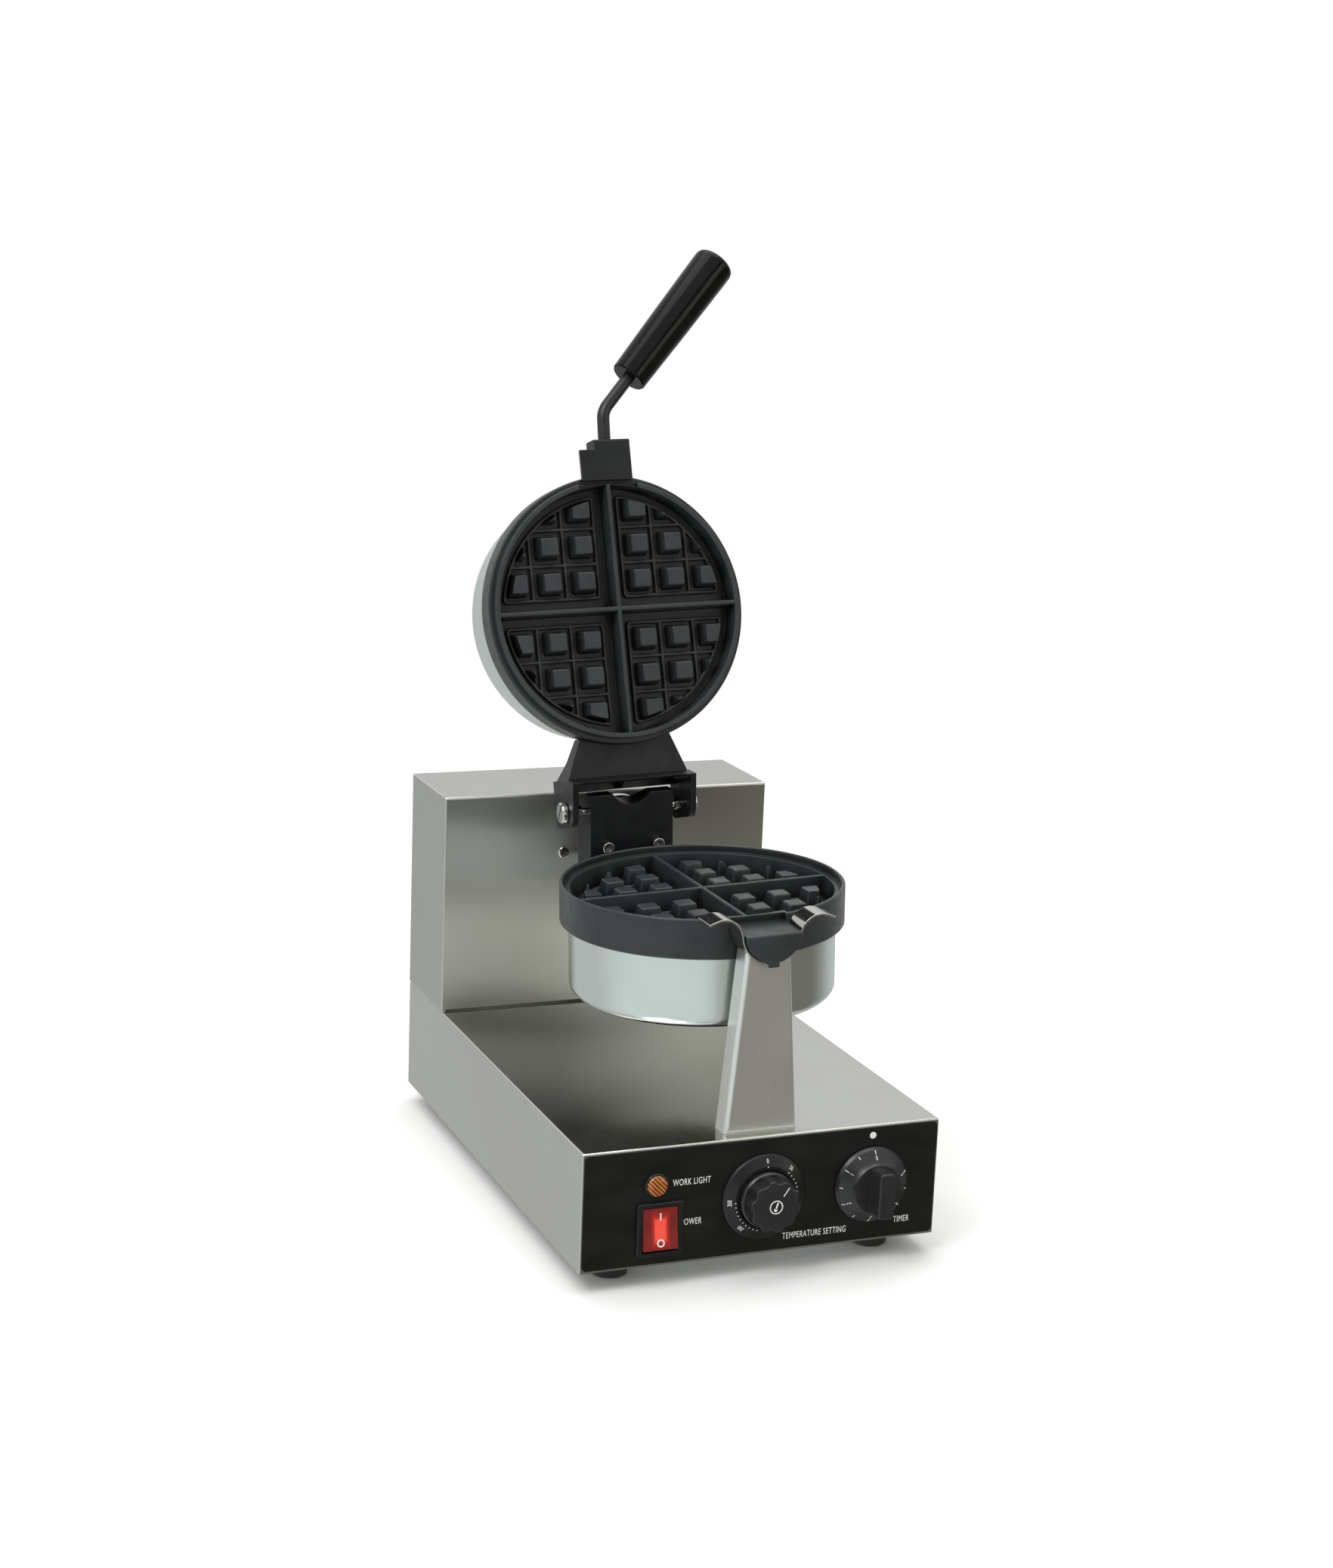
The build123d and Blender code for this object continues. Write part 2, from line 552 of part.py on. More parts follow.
def shaft_bush():
    """Flanged bronze bush, pressed into the bearing block."""
    face, back = REAR_FRONT - 2.2, REAR_FRONT + SHEET + 20
    bush = rod(14.0, (0, face, AXIS_Z), (0, back, AXIS_Z))
    bush += rod(19.0, (0, face, AXIS_Z), (0, REAR_FRONT + SHEET, AXIS_Z))
    return bush - rod(SHAFT_R + FIT, (0, face - 1, AXIS_Z), (0, back + 1, AXIS_Z))


def bearing_screws():
    """Four flat screws that hold the bearing block to the housing's front wall."""
    screws = []
    for x, z in bearing_bolts():
        head = rod(4.4, (x, REAR_FRONT - 1.8, z), (x, REAR_FRONT, z))
        head = fillet(head.edges().group_by(Axis.Y)[0], 1.0)
        slot = Pos(x, REAR_FRONT - 1.8, z) * Rot(0, 35, 0) * Box(10, 1.6, 1.0)
        screws.append(head - slot + rod(2.6, (x, REAR_FRONT, z), (x, REAR_FRONT + 16, z)))
    return Compound(children=screws)


def stand_front():
    return FRONT + 8.0


def front_stand():
    """Folded channel that tapers upwards to the saddle."""
    foot_half, head_half, depth = 25.5, 15.5, 15.5
    top = AXIS_Z - 10
    z0, y0 = BASE_TOP, stand_front()

    def tapered(inset, y_from):
        slope = (foot_half - head_half) / (AXIS_Z - 14 - z0)
        half_top = foot_half - slope * (top - z0)
        face = make_face(Polyline((-foot_half + inset, z0), (-half_top + inset, top), (half_top - inset, top),
                                  (foot_half - inset, z0), close=True))
        plane = Plane(origin=(0, y_from, 0), x_dir=(1, 0, 0), z_dir=(0, -1, 0))
        return extrude(plane * face, -(depth + 10))

    outer = tapered(0, y0) & block(-40, 40, y0, y0 + depth, z0, top)
    outer = fillet(outer.edges().group_by(Axis.Y)[0].filter_by(lambda e: e.length > 50), 3.0)
    inner = tapered(SHEET, y0 + SHEET)
    inner = fillet(inner.edges().group_by(Axis.Y)[0].filter_by(lambda e: e.length > 50), 1.8)
    body = outer - inner
    body += block(-foot_half + 1, foot_half - 1, y0 + SHEET, y0 + depth, z0, z0 + SHEET)
    for x in (-14, 14):
        body -= rod(2.1, (x, y0 + 10, z0 - 2), (x, y0 + 10, z0 + 4))
    body -= rod(JOURNAL_R + GAP + 1.3, (0, y0 - 5, AXIS_Z), (0, y0 + 40, AXIS_Z))
    return body


def saddle():
    """Sheet strip bent round the journal, with a wing on each side that curls out and over."""
    thick, depth = 1.3, 19.0
    mid_r = JOURNAL_R + GAP + thick / 2
    leave, curl_r, droop, flat = 6.0, 13.5, 20.0, 5.2

    def on_circle(centre, radius, degrees):
        angle = math.radians(degrees)
        return (centre[0] + radius * math.cos(angle), centre[1] + radius * math.sin(angle))

    neck = on_circle((0, 0), mid_r, -leave)
    curl = on_circle(neck, curl_r, -leave)
    over = on_circle(curl, curl_r, 90 - droop)
    half = Wire([ThreePointArc((0, -mid_r), on_circle((0, 0), mid_r, -50), neck),
                 ThreePointArc(neck, on_circle(curl, curl_r, 130), over),
                 Line(over, on_circle(over, flat, -droop))])
    strip = offset(half, thick / 2, side=Side.BOTH)
    face = make_face(strip.edges())
    plane = Plane(origin=(0, FRONT + 4.0, AXIS_Z), x_dir=(1, 0, 0), z_dir=(0, -1, 0))
    solid = extrude(plane * face, -depth)
    return solid + mirror(solid, Plane.YZ)


def stand_screws():
    screws = []
    for x in (-14, 14):
        y = stand_front() + 10
        screws.append(rod(2.1, (x, y, BASE_TOP - 6), (x, y, BASE_TOP + SHEET)) +
                      rod(4.0, (x, y, BASE_TOP + SHEET), (x, y, BASE_TOP + SHEET + 2.2)))
    return Compound(children=screws)


# ---- controls -----------------------------------------------------------------------
def lamp_bezel():
    ring = front_turned(LAMP_AT, [(6.0, PANEL_T), (8.2, PANEL_T), (8.2, 2.0), (7.6, 2.6), (7.0, 2.6), (6.9, 1.8),
                                  (6.0, 1.8)])
    barrel = front_turned(LAMP_AT, [(4.6, -18), (6.0, -18), (6.0, 1.8), (4.6, 1.8)])
    return ring + barrel


def lamp_lens():
    return front_turned(LAMP_AT, [(0, 1.8), (6.85, 1.8), (6.85, 3.0), (6.2, 3.8), (4.4, 4.6), (2.2, 4.9), (0, 5.0)])


def switch_housing():
    """Bezel and body of the power switch, snapped into the panel."""
    bezel = facing_front(ROCKER_AT, -PANEL_T - 2.4, RectangleRounded(31.5, 36, 2.0), 2.4)
    bezel = fillet(bezel.faces().sort_by(Axis.Y)[0].edges(), 0.8)
    body = facing_front(ROCKER_AT, -PANEL_T, Rectangle(26.8, 32.6), 26)
    window = facing_front(ROCKER_AT, -PANEL_T - 3, Rectangle(24.0, 30.6), 20)
    return bezel + body - window - rocker_pins(ROCKER_PIN_R + FIT, 12.9)


def rocker_pins(radius, reach):
    """The rocker's pivot, drawn as one bar from side to side."""
    x, y, z = ROCKER_AT[0], FRONT + ROCKER_PIVOT, FOOT_H + ROCKER_AT[1]
    return rod(radius, (x - reach, y, z), (x + reach, y, z))


def power_rocker():
    """Rocker that tips about its middle, drawn with its upper end pressed."""
    y, z = FRONT + ROCKER_PIVOT, FOOT_H + ROCKER_AT[1]
    outline = [(2.0, -14.8), (-7.3, -13.0), (-4.6, 0), (-3.8, 14.4), (2.0, 14.8), (9.0, 5.0), (10.0, 0),
               (9.0, -5.0)]
    face = make_face(Polyline(*[(y + dy, z + dz) for dy, dz in outline], close=True))
    body = extrude(Plane.YZ.offset(ROCKER_AT[0]) * face, 11.7, both=True)
    body = fillet(body.edges().group_by(Axis.Y)[0], 0.6)
    return body + rocker_pins(ROCKER_PIN_R, 12.8)


def thermostat_bezel():
    """Fixed ring round the temperature knob, with a sloping face for the scale."""
    return front_turned(THERMOSTAT_AT, [(19.6, PANEL_T), (29.0, PANEL_T), (29.0, 2.4), (28.0, 3.4), (22.0, 6.4),
                                        (19.6, 6.4)])


def thermostat_knob():
    """Round skirt and fluted cap, bored for its spindle."""
    skirt = [(0, 1.4), (18.8, 1.4), (18.8, 9.0), (17.8, 10.4), (0, 10.4)]
    body = front_turned(THERMOSTAT_AT, skirt)
    cap = Circle(17.4)
    for flute in range(10):
        angle = math.radians(36 * flute + 10)
        cap -= Pos(20.6 * math.cos(angle), 20.6 * math.sin(angle)) * Circle(5.0)
    plane = Plane(origin=panel_point(THERMOSTAT_AT, -10.0), x_dir=(1, 0, 0), z_dir=(0, -1, 0))
    top = extrude(plane * fillet(cap.vertices(), 0.9), 11.5)
    top = fillet(top.faces().sort_by(Axis.Y)[0].edges(), 0.9)
    return body + top - spindle(THERMOSTAT_AT, 14.0, 3.0)


def spindle(at, reach, radius):
    """Spindle of a control, out to a distance in front of the panel."""
    return rod(radius, panel_point(at, 12), panel_point(at, -reach))


def control_body(at, half_w, half_h, depth):
    """Body of a control behind the panel, with the nose its spindle comes through."""
    x, z = at[0], FOOT_H + at[1]
    body = block(x - half_w, x + half_w, FRONT + SHEET, FRONT + depth, z - half_h, z + half_h)
    body = fillet(body.edges().filter_by(Axis.Y), 2)
    body += rod(5.2, panel_point(at, -PANEL_T + 0.2), panel_point(at, 4))
    tab_y = FRONT + depth
    for tab_z in (z - half_h / 2, z + half_h / 2):
        body += block(x - 3, x + 3, tab_y - 1, tab_y + 8, tab_z - 0.4, tab_z + 0.4)
    return body - rod(3.0 + FIT, panel_point(at, 13), panel_point(at, -5))


def timer_knob():
    """Skirted dial with a straight bar grip."""
    body = front_turned(TIMER_AT, [(0, 1.4), (26.0, 1.4), (26.0, 2.6), (24.6, 4.6), (18.6, 9.2), (17.4, 10.4),
                                   (16.4, 12.0), (0, 12.0)])
    bar = facing_front(TIMER_AT, -KNOB_PROUD, RectangleRounded(11.0, 31.0, 3.0), KNOB_PROUD - 8)
    bar = fillet(bar.faces().sort_by(Axis.Y)[0].edges(), 1.2)
    return body + bar - spindle(TIMER_AT, 16.0, 3.0)


def cable_gland():
    """Gland for the supply cable, through the base's back."""
    x, y, z = GLAND_AT[0], BACK, FOOT_H + GLAND_AT[1]
    flange = extrude(Plane(origin=(x, y, z), z_dir=(0, 1, 0)) * RegularPolygon(12.5, 6), 4.0)
    cap = rod(10.5, (x, y + 4, z), (x, y + GLAND_PROUD, z))
    cap = fillet(cap.edges().group_by(Axis.Y)[-1], 2.5)
    neck = rod(8.0, (x, y - 12, z), (x, y + 4, z))
    return flange + cap + neck - rod(4.5, (x, y - 14, z), (x, y + GLAND_PROUD + 2, z))


def terminal_block():
    """Three-way block on the bottom plate, behind the gland."""
    x, y, z = GLAND_AT[0], BACK - 70, FOOT_H + SHEET
    body = block(x - 24, x + 24, y - 11, y + 11, z, z + 18)
    for way in (-16, 0, 16):
        body -= rod(2.2, (x + way, y - 12, z + 7), (x + way, y + 12, z + 7))
        for side in (-6, 6):
            body -= rod(2.4, (x + way, y + side, z + 10), (x + way, y + side, z + 19))
    return body


# ---- every node ---------------------------------------------------------------------
def all_nodes():
    pegs = Compound(children=four_quarters(quarter_pegs()))
    nodes = {
        "base_shell": base_shell(), "control_panel": control_panel(), "bottom_plate": bottom_plate(),
        "foot_screws": foot_screws(), "rear_housing": rear_housing(), "rear_cover": rear_cover(),
        "rear_cover_screws": rear_cover_screws(), "bearing_block": bearing_block(), "shaft_bush": shaft_bush(),
        "bearing_screws": bearing_screws(), "front_stand": front_stand(), "saddle": saddle(),
        "stand_screws": stand_screws(), "lamp_bezel": lamp_bezel(), "lamp_lens": lamp_lens(),
        "switch_housing": switch_housing(), "power_rocker": power_rocker(),
        "thermostat_bezel": thermostat_bezel(), "thermostat_knob": thermostat_knob(),
        "thermostat_spindle": spindle(THERMOSTAT_AT, 14.0, 3.0),
        "thermostat_body": control_body(THERMOSTAT_AT, 17, 17, 34),
        "timer_knob": timer_knob(), "timer_spindle": spindle(TIMER_AT, 16.0, 3.0),
        "timer_body": control_body(TIMER_AT, 24, 24, 40),
        "cable_gland": cable_gland(), "terminal_block": terminal_block(),
        "lower_grid_plate": lower_grid_plate(), "upper_grid_plate": upper_grid_plate(),
        "lower_grid_pegs": lower_half(pegs), "upper_grid_pegs": upper_half(pegs),
        "lower_cover": lower_half(cover()), "upper_cover": upper_half(cover()),
        "lower_heating_element": lower_half(heating_element()),
        "upper_heating_element": upper_half(heating_element()),
        "lower_hinge_bracket": lower_hinge_bracket(), "upper_hinge_bracket": upper_hinge_bracket(),
        "bracket_screws": bracket_screws(), "pivot_screws": pivot_screws(), "lock_nuts": lock_nuts(),
        "handle_block": handle_block(), "handle_rod": handle_rod(), "handle_grip": handle_grip(),
    }
    corner_names = ("foot_front_left", "foot_front_right", "foot_rear_left", "foot_rear_right")
    for name, (x, y) in zip(corner_names, foot_places()):
        nodes[name] = foot(x, y)
    post, screw = cover_screw()
    nodes["lower_cover_post"], nodes["lower_cover_screw"] = lower_half(post), lower_half(screw)
    nodes["upper_cover_post"], nodes["upper_cover_screw"] = upper_half(post), upper_half(screw)
    nodes["flip_shaft"], nodes["shaft_collar"] = shaft_parts()
    return nodes


os.makedirs("parts", exist_ok=True)
for node_name, node_shape in all_nodes().items():
    export_step(node_shape, f"parts/{node_name}.step")
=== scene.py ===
import bpy
import json
import math
from mathutils import Matrix, Vector

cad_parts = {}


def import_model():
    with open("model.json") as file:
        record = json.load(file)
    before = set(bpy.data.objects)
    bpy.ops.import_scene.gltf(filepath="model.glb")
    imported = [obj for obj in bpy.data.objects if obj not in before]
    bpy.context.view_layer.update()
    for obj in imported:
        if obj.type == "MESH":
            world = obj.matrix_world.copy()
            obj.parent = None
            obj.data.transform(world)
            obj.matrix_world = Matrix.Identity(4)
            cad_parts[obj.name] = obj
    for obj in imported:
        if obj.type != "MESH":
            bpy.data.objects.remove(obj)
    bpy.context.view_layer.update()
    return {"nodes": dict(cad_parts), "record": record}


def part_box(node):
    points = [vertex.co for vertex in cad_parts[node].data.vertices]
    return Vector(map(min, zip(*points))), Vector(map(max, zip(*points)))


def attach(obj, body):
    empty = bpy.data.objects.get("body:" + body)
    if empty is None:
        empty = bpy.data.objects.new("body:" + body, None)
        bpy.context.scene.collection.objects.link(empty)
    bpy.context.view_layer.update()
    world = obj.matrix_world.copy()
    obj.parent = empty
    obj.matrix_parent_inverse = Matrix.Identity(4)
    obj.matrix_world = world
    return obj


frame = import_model()
nodes = frame["nodes"]


# ---- shader helpers -----------------------------------------------------------------
NOISE_LOW, NOISE_HIGH = 0.3, 0.7        # where nearly all of a noise texture's values lie


class Shader:
    """A material under construction: its node tree, Principled shader and a few shorthands.

    Lengths are metres, and the textures are laid by object coordinates.
    """

    def __init__(self, name, color, rough, metallic=0.0, **sockets):
        self.mat = bpy.data.materials.new(name)
        self.mat.use_nodes = True
        self.tree = self.mat.node_tree
        self.bsdf = self.tree.nodes["Principled BSDF"]
        self.coords = self.add("ShaderNodeTexCoord").outputs["Object"]
        self.height = None
        self.set(self.bsdf, **{"Base Color": (*color, 1), "Roughness": rough,
                               "Metallic": metallic})
        self.set(self.bsdf, **sockets)

    def add(self, kind, **props):
        node = self.tree.nodes.new(kind)
        for key, value in props.items():
            setattr(node, key, value)
        return node

    def set(self, node, **values):
        for key, value in values.items():
            node.inputs[key].default_value = value

    def link(self, source, node, socket):
        self.tree.links.new(source, node.inputs[socket])

    def mapped(self, scale, rotation=(0, 0, 0)):
        """Object coordinates scaled along each axis, or by one number along all."""
        node = self.add("ShaderNodeMapping")
        self.link(self.coords, node, "Vector")
        scale = scale if isinstance(scale, (tuple, list)) else (scale, scale, scale)
        self.set(node, Scale=scale, Rotation=rotation)
        return node.outputs["Vector"]

    def noise(self, vector, detail=3.0, rough=0.55):
        node = self.add("ShaderNodeTexNoise")
        self.link(vector, node, "Vector")
        self.set(node, Scale=1.0, Detail=detail, Roughness=rough)
        return node.outputs["Fac"]

    def ramp(self, value, stops):
        """A colour ramp from (position, colour or grey) stops."""
        node = self.add("ShaderNodeValToRGB")
        while len(node.color_ramp.elements) < len(stops):
            node.color_ramp.elements.new(0.5)
        for element, (position, colour) in zip(node.color_ramp.elements, stops):
            element.position = position
            if not isinstance(colour, tuple):
                colour = (colour, colour, colour)
            element.color = (*colour, 1)
        self.link(value, node, "Fac")
        return node.outputs["Color"]

    def tinted(self, noise, low, high):
        """From one colour to another over a noise texture's values."""
        return self.ramp(noise, [(NOISE_LOW, low), (NOISE_HIGH, high)])

    def mix(self, factor, a, b, blend="MIX"):
        """Mix two colours; each of a, b and factor is a socket or a constant."""
        node = self.add("ShaderNodeMix", data_type="RGBA", blend_type=blend)
        for socket, value in ((node.inputs[0], factor), (node.inputs[6], a),
                              (node.inputs[7], b)):
            if isinstance(value, bpy.types.NodeSocket):
                self.tree.links.new(value, socket)
            else:
                socket.default_value = (*value, 1) if isinstance(value, tuple) else value
        return node.outputs[2]

    def math(self, operation, a, b=0.0):
        node = self.add("ShaderNodeMath", operation=operation)
        for socket, value in zip(node.inputs, (a, b)):
            if isinstance(value, bpy.types.NodeSocket):
                self.tree.links.new(value, socket)
            else:
                socket.default_value = value
        return node.outputs[0]

    def scaled(self, noise, low, high):
        """From one number to another over a noise texture's values."""
        node = self.add("ShaderNodeMapRange")
        self.link(noise, node, "Value")
        self.set(node, **{"From Min": NOISE_LOW, "From Max": NOISE_HIGH,
                          "To Min": low, "To Max": high})
        return node.outputs["Result"]

    def color(self, socket):
        self.link(socket, self.bsdf, "Base Color")

    def rough(self, socket):
        self.link(socket, self.bsdf, "Roughness")

    def bump(self, height, strength, distance):
        node = self.add("ShaderNodeBump")
        self.set(node, Strength=strength, Distance=distance)
        self.link(height, node, "Height")
        if self.height:
            self.link(self.height, node, "Normal")
        self.height = node.outputs["Normal"]
        self.link(self.height, self.bsdf, "Normal")

    def soften_edges(self, radius):
        """Round every edge's shading; returns 0 on flat ground and up to 1 on the edges."""
        bevel = self.add("ShaderNodeBevel", samples=6)
        self.set(bevel, Radius=radius)
        self.height = bevel.outputs["Normal"]
        self.link(self.height, self.bsdf, "Normal")
        dot = self.add("ShaderNodeVectorMath", operation="DOT_PRODUCT")
        self.link(self.height, dot, 0)
        self.link(self.add("ShaderNodeNewGeometry").outputs["Normal"], dot, 1)
        return self.ramp(dot.outputs["Value"], [(0.80, 1.0), (0.985, 0.0)])

    def facing_up(self):
        """1 where the surface looks up or down, else 0."""
        split = self.add("ShaderNodeSeparateXYZ")
        self.link(self.add("ShaderNodeNewGeometry").outputs["Normal"], split, "Vector")
        return self.math("GREATER_THAN", self.math("ABSOLUTE", split.outputs[2]), 0.6)

    def shade_gap(self, distance, dark):
        """Darkening in creases, from ambient occlusion."""
        node = self.add("ShaderNodeAmbientOcclusion", samples=8)
        self.set(node, Distance=distance)
        return self.ramp(node.outputs["AO"], [(0.3, dark), (0.92, 1.0)])


# ---- materials ----------------------------------------------------------------------
STEEL_COLOR = (0.60, 0.60, 0.575)
SATIN_COLOR = (0.74, 0.79, 0.775)
FINE_GRAIN = (5200, 420)        # texture scale across the grain, and how far it is stretched
COARSE_GRAIN = (1100, 300)


def grained_steel(name, along, color=STEEL_COLOR, rough=0.17, along_top=None, brushed=0.0):
    """Brushed stainless with its grain along one axis (0 x, 1 y, 2 z).

    Level faces have it along along_top, if that is given. Brushed is how much wider
    reflections spread across the grain than along it.
    """
    shader = Shader(name, color, rough, 1.0, Anisotropic=brushed)
    edge = shader.soften_edges(0.0007)
    if brushed:
        grain_axis = [0.0, 0.2, 0.2]    # a little off the grain, so no face is square to it
        grain_axis[along] = 1.0
        across = shader.add("ShaderNodeVectorMath", operation="CROSS_PRODUCT")
        shader.link(shader.add("ShaderNodeNewGeometry").outputs["Normal"], across, 0)
        across.inputs[1].default_value = grain_axis
        shader.link(across.outputs["Vector"], shader.bsdf, "Tangent")

    def stretched(axis, grain):
        across_grain, stretch = grain
        scale = [across_grain, across_grain, across_grain]
        scale[axis] = across_grain / stretch
        return shader.mapped(scale)

    fine, coarse = stretched(along, FINE_GRAIN), stretched(along, COARSE_GRAIN)
    if along_top is not None:
        up = shader.facing_up()
        fine = shader.mix(up, fine, stretched(along_top, FINE_GRAIN))
        coarse = shader.mix(up, coarse, stretched(along_top, COARSE_GRAIN))
    grain = shader.noise(fine, 3.0, 0.6)
    bands = shader.noise(coarse, 3.0, 0.55)
    clouds = shader.noise(shader.mapped(9), 4.0, 0.55)
    tint = shader.tinted(clouds, (0.955, 0.945, 0.92), (1.0, 1.0, 1.0))
    darker, lighter = (tuple(c * k for c in color) for k in (0.975, 1.02))
    base = shader.mix(1.0, shader.tinted(grain, darker, lighter), tint, "MULTIPLY")
    # Painted highlight: edges lightened toward pale grey.
    shader.color(shader.mix(shader.math("MULTIPLY", edge, 0.5), base, (0.86, 0.87, 0.85)))
    smudge = shader.noise(shader.mapped(19), 5.0, 0.6)
    shader.rough(shader.math("ADD", shader.scaled(bands, rough - 0.012, rough + 0.012),
                             shader.scaled(smudge, -0.02, 0.03)))
    shader.bump(grain, 0.03, 0.00002)
    shader.bump(bands, 0.02, 0.00003)
    return shader.mat


def casting(name, color, rough=0.5, speck=0.35, grit=0.10, depth=0.012, pit=0.16):
    """Dark coated casting: fine grit, pale specks, a painted highlight along the edges, and
    painted shade in the pits.

    Speck is how strong the specks are, grit the strength of the fine bump, and pit the
    darkness of the painted shade in creases up to depth wide.
    """
    shader = Shader(name, color, rough, 0.0, **{"Specular IOR Level": 0.32})
    edge = shader.soften_edges(0.0009)
    wear_and_highlight = shader.noise(shader.mapped(34), 5.0, 0.6)
    worn = tuple(c * 1.45 + 0.003 for c in color)
    base = shader.ramp(wear_and_highlight, [(0.35, color), (0.72, worn)])
    flecks = shader.ramp(shader.noise(shader.mapped(1500), 1.0, 0.4),
                         [(0.64, 0.0), (0.72, 1.0)])
    base = shader.mix(shader.math("MULTIPLY", flecks, speck), base,
                      tuple(c * 2.4 + 0.012 for c in color))
    # Painted shade: creases and pits darkened by ambient occlusion.
    base = shader.mix(1.0, base, shader.shade_gap(depth, pit), "MULTIPLY")
    # Painted highlight: edges lightened toward a paler grey, unevenly by the same noise as the
    # wear.
    edge_highlight = shader.math("MULTIPLY", edge, shader.scaled(wear_and_highlight, 0.25, 0.75))
    shader.color(shader.mix(edge_highlight, base, tuple(c * 2.2 + 0.02 for c in color)))
    patches = shader.noise(shader.mapped(160), 4.0, 0.6)
    shader.rough(shader.scaled(patches, rough - 0.07, rough + 0.09))
    shader.bump(shader.noise(shader.mapped(2300), 2.0, 0.5), grit, 0.0001)
    shader.bump(shader.noise(shader.mapped(260), 3.0, 0.5), 0.12, 0.0002)
    return shader.mat


def satin(name, color, rough, metallic, underside=None):
    """Satin blasted metal: soft mottling with a very fine tooth; dark below, if given."""
    shader = Shader(name, color, rough, metallic, **{"Specular IOR Level": 0.5})
    shader.soften_edges(0.0005)
    mottle = shader.noise(shader.mapped(26), 4.0, 0.5)
    light = tuple(min(1.0, c * 1.03) for c in color)
    dull = tuple(c * 0.965 for c in color)
    # Painted shade: tight creases darkened by ambient occlusion.
    base = shader.mix(1.0, shader.tinted(mottle, dull, light), shader.shade_gap(0.003, 0.7),
                      "MULTIPLY")
    # Faces that look down get a much darker colour.
    if underside:
        split = shader.add("ShaderNodeSeparateXYZ")
        shader.link(shader.add("ShaderNodeTexCoord").outputs["Normal"], split, "Vector")
        below = shader.math("LESS_THAN", split.outputs[2], -0.8)
        darker_below = shader.tinted(mottle, underside, tuple(c * 1.5 for c in underside))
        base = shader.mix(below, base, darker_below)
    shader.color(base)
    patches = shader.noise(shader.mapped(240), 3.0, 0.5)
    shader.rough(shader.scaled(patches, rough - 0.02, rough + 0.02))
    shader.bump(shader.noise(shader.mapped(3200), 1.0, 0.5), 0.02, 0.00003)
    return shader.mat


def plastic(name, color, rough, coat=0.0, texture=0.08, specular=0.4):
    """Moulded plastic: slight texture, mottled colour and handling marks in the gloss."""
    shader = Shader(name, color, rough, 0.0, **{
        "Coat Weight": coat, "Coat Roughness": 0.06, "Specular IOR Level": specular})
    shader.soften_edges(0.0004)
    patch = shader.noise(shader.mapped(55), 4.0, 0.6)
    lift = tuple(c * 1.35 + 0.002 for c in color)
    shader.color(shader.ramp(patch, [(0.35, color), (0.75, lift)]))
    scuffs = shader.noise(shader.mapped((420, 420, 70)), 5.0, 0.65)
    shader.rough(shader.scaled(scuffs, max(0.02, rough - 0.06), rough + 0.08))
    shader.bump(shader.noise(shader.mapped(1900), 2.0, 0.5), texture, 0.00008)
    return shader.mat


def bright_metal(name, color, rough):
    """Plated or turned small metal parts with fine tool marks and dull patches."""
    shader = Shader(name, color, rough, 1.0)
    shader.soften_edges(0.0003)
    marks = shader.noise(shader.mapped((2600, 2600, 300)), 3.0, 0.6)
    dull = tuple(c * 0.78 for c in color)
    # Painted shade: creases darkened by ambient occlusion.
    shader.color(shader.mix(1.0, shader.tinted(marks, dull, color),
                            shader.shade_gap(0.002, 0.45), "MULTIPLY"))
    patches = shader.noise(shader.mapped(300), 3.0, 0.6)
    shader.rough(shader.scaled(patches, rough - 0.06, rough + 0.08))
    shader.bump(marks, 0.08, 0.00005)
    return shader.mat


def lens_amber():
    """Amber lamp lens with diagonal ribs behind a clear face, faintly lit."""
    shader = Shader("amber_lens", (0.75, 0.22, 0.02), 0.18, 0.0, **{
        "Coat Weight": 0.3, "Coat Roughness": 0.05, "Emission Strength": 0.12})
    ribs = shader.add("ShaderNodeTexWave", wave_type="BANDS", bands_direction="X")
    shader.link(shader.mapped(1, (0, math.radians(45), 0)), ribs, "Vector")
    shader.set(ribs, Scale=150.0, Distortion=0.3, Detail=1.0)
    tint = shader.ramp(ribs.outputs["Fac"], [(0.3, (0.13, 0.022, 0.004)),
                                             (0.75, (0.48, 0.17, 0.032))])
    patch = shader.tinted(shader.noise(shader.mapped(260)), 0.7, 1.0)
    tint = shader.mix(1.0, tint, patch, "MULTIPLY")
    shader.color(tint)
    shader.link(tint, shader.bsdf, "Emission Color")
    shader.bump(ribs.outputs["Fac"], 0.2, 0.0003)
    return shader.mat


def lens_red():
    """Red rocker, lit from behind by a lamp that shows as a paler band down its middle."""
    shader = Shader("red_lens", (0.55, 0.02, 0.012), 0.16, 0.0, **{
        "Coat Weight": 0.6, "Coat Roughness": 0.05, "Emission Strength": 0.75})
    centre = centre_of("power_rocker")
    split = shader.add("ShaderNodeSeparateXYZ")
    shader.link(shader.coords, split, "Vector")
    across = shader.math("ABSOLUTE", shader.math("SUBTRACT", split.outputs[0], centre[0]))
    upward = shader.math("ABSOLUTE", shader.math("SUBTRACT", split.outputs[2], centre[2]))
    spread = shader.math("MAXIMUM", shader.math("MULTIPLY", across, 130.0),
                         shader.math("MULTIPLY", upward, 72.0))
    glow = shader.ramp(spread, [(0.42, (1.0, 0.10, 0.06)), (0.62, (0.30, 0.006, 0.004)),
                                (0.9, (0.03, 0.001, 0.001))])
    shader.link(glow, shader.bsdf, "Emission Color")
    shader.color(shader.tinted(shader.noise(shader.mapped(200), 3.0),
                               (0.14, 0.008, 0.007), (0.19, 0.012, 0.010)))
    shader.bump(shader.noise(shader.mapped(900)), 0.03, 0.0001)
    return shader.mat


